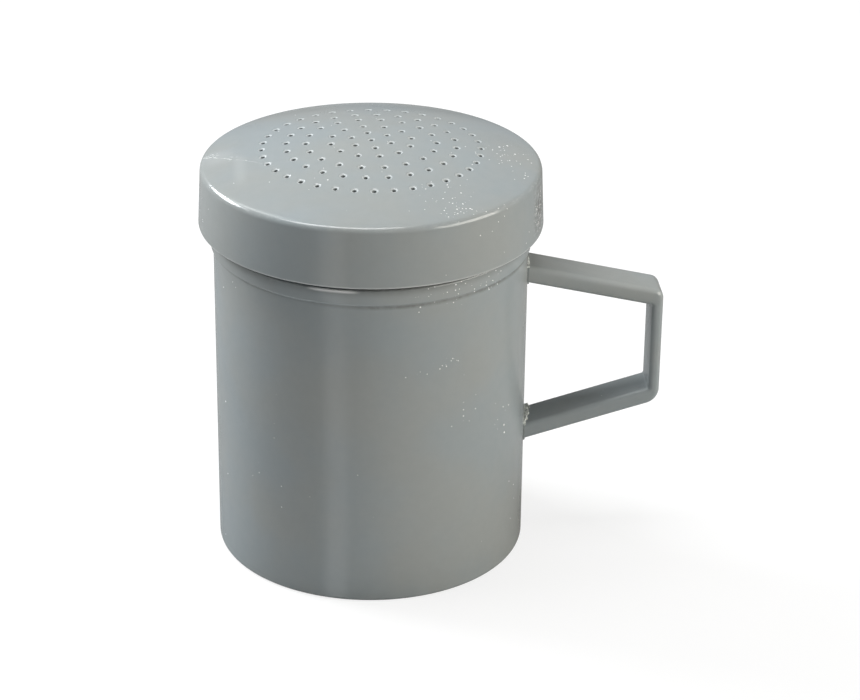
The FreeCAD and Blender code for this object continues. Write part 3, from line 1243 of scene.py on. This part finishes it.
@dataclass(frozen=True)
class Lamp:
    """A soft rectangular lamp that faces the shaker.

    Attributes:
        name: The lamp's name.
        azimuth: Its direction from the shaker in degrees: 0 is towards the camera, and
            positive turns to the camera's right.
        elevation: Its height angle in degrees.
        distance: Its distance in metres.
        size: Its width and height in metres.
        power: Its power in watts.
        colour: Its colour.
    """

    name: str
    azimuth: float
    elevation: float
    distance: float
    size: tuple[float, float]
    power: float
    colour: tuple[float, float, float] = (1.0, 1.0, 1.0)

    def place(self, heading: float, target: Vector) -> bpy.types.Object:
        """Put the lamp into the scene.

        Args:
            heading: The camera's own direction from the shaker, in radians about Z.
            target: The point that the lamp faces.

        Returns:
            The lamp.
        """
        turn = heading + math.radians(self.azimuth)
        rise = math.radians(self.elevation)
        out = Vector((math.cos(turn), math.sin(turn), 0)) * math.cos(rise)
        out.z = math.sin(rise)
        data = bpy.data.lights.new(self.name, "AREA")
        data.shape = "RECTANGLE"
        data.size, data.size_y = self.size
        data.energy = self.power
        data.color = self.colour
        lamp = bpy.data.objects.new(self.name, data)
        bpy.context.scene.collection.objects.link(lamp)
        lamp.location = target + out * self.distance
        lamp.rotation_euler = (-out).to_track_quat("-Z", "Y").to_euler()
        log.info("%s: %.1f W", self.name, self.power)
        return lamp


@dataclass
class Studio:
    """White sweep, soft lamps and the camera."""

    pitch: float = 25.694
    heading: float = 4.622
    roll: float = 0.67
    camera_spot: tuple[float, float, float] = (-34.36, -599.02, 336.15)
    lens: float = 117.435
    sensor: float = 36.0
    floor_size: float = 6.0
    target: tuple[float, float, float] = (0.0, 0.0, 0.05)
    world_level: float = 0.008
    mirrored_level: float = 0.224
    mirrored_floor: float = 0.05
    streak_azimuth: float = -12.8
    streak_width: float = 3.2
    streak_growth: float = 0.17
    cup_radius: float = 37.0
    floor_tones: tuple[float, float] = (0.56, 0.60)
    floor_glow: float = 0.78
    shadow_reach: tuple[float, float] = (400.0, 1200.0)
    lamps: Sequence[Lamp] = field(
        default_factory=lambda: (
            Lamp("left_soft_box", -120, 30, 1.0, (0.45, 0.30), 11.5, (0.94, 0.98, 1.0)),
            Lamp("back_left_soft_box", -135, 50, 1.0, (0.40, 0.35), 1.6, (0.97, 0.99, 1.0)),
            Lamp("high_left_soft_box", -90, 70, 1.0, (0.35, 0.35), 4.1, (0.97, 0.99, 1.0)),
            Lamp("right_soft_box", 67, 19, 1.0, (0.80, 0.55), 9.0, (1.0, 0.97, 0.90)),
            Lamp("overhead_soft_box", 0, 89, 1.0, (0.35, 0.35), 3.6),
        )
    )

    def build(self) -> None:
        """Make the sweep, the world, the lamps and the camera."""
        self._floor()
        self._world()
        toward = math.atan2(self.camera_spot[1], self.camera_spot[0])
        for lamp in self.lamps:
            lamp.place(toward, Vector(self.target))
        self._camera()
        bpy.context.scene.view_settings.view_transform = "Standard"

    def _camera(self) -> None:
        """The camera at the photograph's place, tilt and lens."""
        data = bpy.data.cameras.new("camera")
        data.lens = self.lens
        data.sensor_width = self.sensor
        data.clip_start, data.clip_end = 0.01, 50
        camera = bpy.data.objects.new("camera", data)
        bpy.context.scene.collection.objects.link(camera)
        camera.matrix_world = (
            Matrix.Translation(Vector(self.camera_spot) * MM)
            @ Matrix.Rotation(math.radians(-self.heading), 4, "Z")
            @ Matrix.Rotation(math.radians(90 - self.pitch), 4, "X")
            @ Matrix.Rotation(math.radians(self.roll), 4, "Z")
        )
        bpy.context.scene.camera = camera

    def _floor(self) -> None:
        """A wide pale floor that looks white but still takes the shaker's shadow."""
        deselect_all()
        bpy.ops.mesh.primitive_plane_add(size=self.floor_size, location=(0, 0, 0))
        floor = bpy.context.object
        floor.name = "floor"
        graph = Graph("floor_white")
        place = graph.place()
        tone = graph.noise(place, 60.0, 2.0)
        plain, mirrored = self._plain(graph)
        sheen = self.mirrored_floor + self._streak(graph) * (1 - self.mirrored_floor)
        colour = graph.blend(tone, *(grey(level) for level in self.floor_tones))
        colour = graph.blend(plain, colour, grey(0.9))
        paper = graph.add("ShaderNodeBsdfDiffuse", sockets={"Color": colour})
        level = 1 - mirrored * (1 - sheen)
        glow = graph.add(
            "ShaderNodeEmission", sockets={"Color": graph.blend(level, BLACK, WHITE)}
        )
        x, y, _ = graph.parts(place)
        away = (x * x + y * y).root().ramp(*self.shadow_reach) * (1 - mirrored)
        share = plain * (self.floor_glow + away * (1 - self.floor_glow))
        sockets = {0: share, 1: paper, 2: glow}
        mixed = graph.add("ShaderNodeMixShader", sockets=sockets)
        floor.data.materials.append(graph.finish(mixed))

    def _streak(self, graph: Graph) -> Value:
        """The strip of floor that the upright walls mirror as one soft streak.

        Args:
            graph: The floor's graph.

        Returns:
            1 along its middle, falling to 0 at its sides.
        """
        toward = math.atan2(self.camera_spot[1], self.camera_spot[0])
        foot = toward + math.radians(self.streak_azimuth)
        start = (self.cup_radius * math.cos(foot), self.cup_radius * math.sin(foot), 0.0)
        turn = math.degrees(toward) + 2 * self.streak_azimuth
        along, across, _ = graph.parts(graph.local(graph.place(), start, turn))
        share = abs(across / (self.streak_width + along * self.streak_growth))
        return share.ramp(1.25, 0.35) * along.over(0.0)

    @staticmethod
    def _plain(graph: Graph) -> tuple[Value, Value]:
        """Which rays show the background.

        Args:
            graph: The floor's or the surround's graph.

        Returns:
            1 for straight, mirrored and passing rays, and 1 for mirrored rays alone.
        """
        path = graph.add("ShaderNodeLightPath")
        outputs = path.socket.node.outputs
        kinds = ("Is Camera Ray", "Is Glossy Ray", "Is Transmission Ray")
        straight, mirrored, through = (Value(graph, outputs[kind]) for kind in kinds)
        return (straight + mirrored + through).over(0.5), mirrored

    def _world(self) -> None:
        """A soft surround that the camera sees as white, and mirror images as pale grey."""
        world = bpy.data.worlds.new("surround")
        world.use_nodes = True
        bpy.context.scene.world = world
        graph = Graph.of_tree(world.node_tree)
        plain, mirrored = self._plain(graph)
        level = self.world_level + plain * (1 - self.world_level)
        level = level - mirrored * (1 - self.mirrored_level)
        tint = graph.blend(level, BLACK, WHITE)
        backdrop = graph.add("ShaderNodeBackground", sockets={"Color": tint})
        graph.add("ShaderNodeOutputWorld", sockets={"Surface": backdrop})


def main() -> None:
    """Build every piece in order, then the studio."""
    lid = Lid()
    body_plastic = MouldedPlastic(
        "body_grey_plastic",
        spots=(
            Spot((13.0, -34.3, 59.4), 5.0, 0.42),
            Spot((16.8, -32.6, 60.5), 2.8, 0.90),
            Spot((9.3, -35.4, 58.5), 2.6, 0.70),
            Spot((10.0, -35.9, 77.05), 6.0, 0.45),
            Spot((18.2, -32.6, 77.45), 6.5, 0.85),
            Spot((25.5, -27.2, 77.65), 6.5, 0.75),
            Spot((20.0, -30.7, 47.0), 9.0, 0.14),
            Spot((28.8, -22.7, 40.5), 7.0, 0.14),
        ),
        # Paler bands on the collar's top and lower edges, partly scuffing and partly painted
        # highlight.
        lightened=(
            Ring(37.0, 79.65, 0.4, 0.5),
            # Painted highlight: a short bright streak on the collar's top edge, just left of the
            # front.
            Ring(37.2, 79.25, 0.6, 2.2, 0.95, -106.5, 10.0),
            Ring(37.2, 75.75, 0.3, 0.25),
        ),
        # Painted shadow: a dark line under the collar, strongest at the front and right; painted
        # shade on the collar's upper part, under the lid's skirt.
        soiled_and_shaded=(
            Ring(36.8, 75.25, 0.95, 0.50, 0.6, -50.0, 75.0),
            Ring(36.8, 75.45, 0.5, 0.20, 0.8),
            Ring(37.2, 79.75, 2.4, 0.34, 0.9),
        ),
    ).make()
    lid_plastic = MouldedPlastic(
        "lid_grey_plastic",
        dust=0.02,
        spots=(
            Spot((16.1, -32.0, 96.15), 4.5, 1.10),
            Spot((11.0, -29.7, 97.15), 4.5, 0.60),
            Spot((18.8, -26.4, 97.05), 13.0, 0.30),
            Spot((30.7, -3.0, 97.25), 11.0, 0.45),
            Spot((33.5, 1.0, 96.75), 6.0, 0.40),
            Spot((34.0, -12.7, 96.05), 5.0, 0.50),
            Spot((4.1, -1.3, 100.85), 2.6, 1.00),
            Spot((37.9, -12.3, 87.75), 8.0, 0.60),
            Spot((-38.8, -8.8, 85.25), 0.9, 3.0),
        ),
        lightened=(
            Ring(38.9, 94.8, 1.0, 0.2),
            # A pale line along the skirt's lower edge: partly scuffing and partly a painted
            # highlight.
            Ring(39.85, 81.35, 0.65, 1.1, 0.8),
            Ring(39.7, 87.75, 9.0, 1.0, 0.0, -19.0, 7.0),
        ),
        soiled_and_shaded=(Ring(39.7, 88.25, 10.0, 0.55, 0.3, -15.0, 11.0),),
        flow_line=True,
        mouths=(lid.ball, lid.centre, 28.0, 90.0),
    ).make()
    adhesive = DriedAdhesive().make()
    Cup().build(body_plastic)
    Handle().build(body_plastic)
    Bond().build(adhesive)
    Bond(
        name="lower_glue_bead",
        nodes=("lower_bond",),
        low=24.95,
        high=29.0,
        bead=0.45,
        blob=1.5,
        lumps=0.3,
    ).build(adhesive)
    lid.build(lid_plastic)
    Studio().build()


if __name__ == "__main__":
    main()
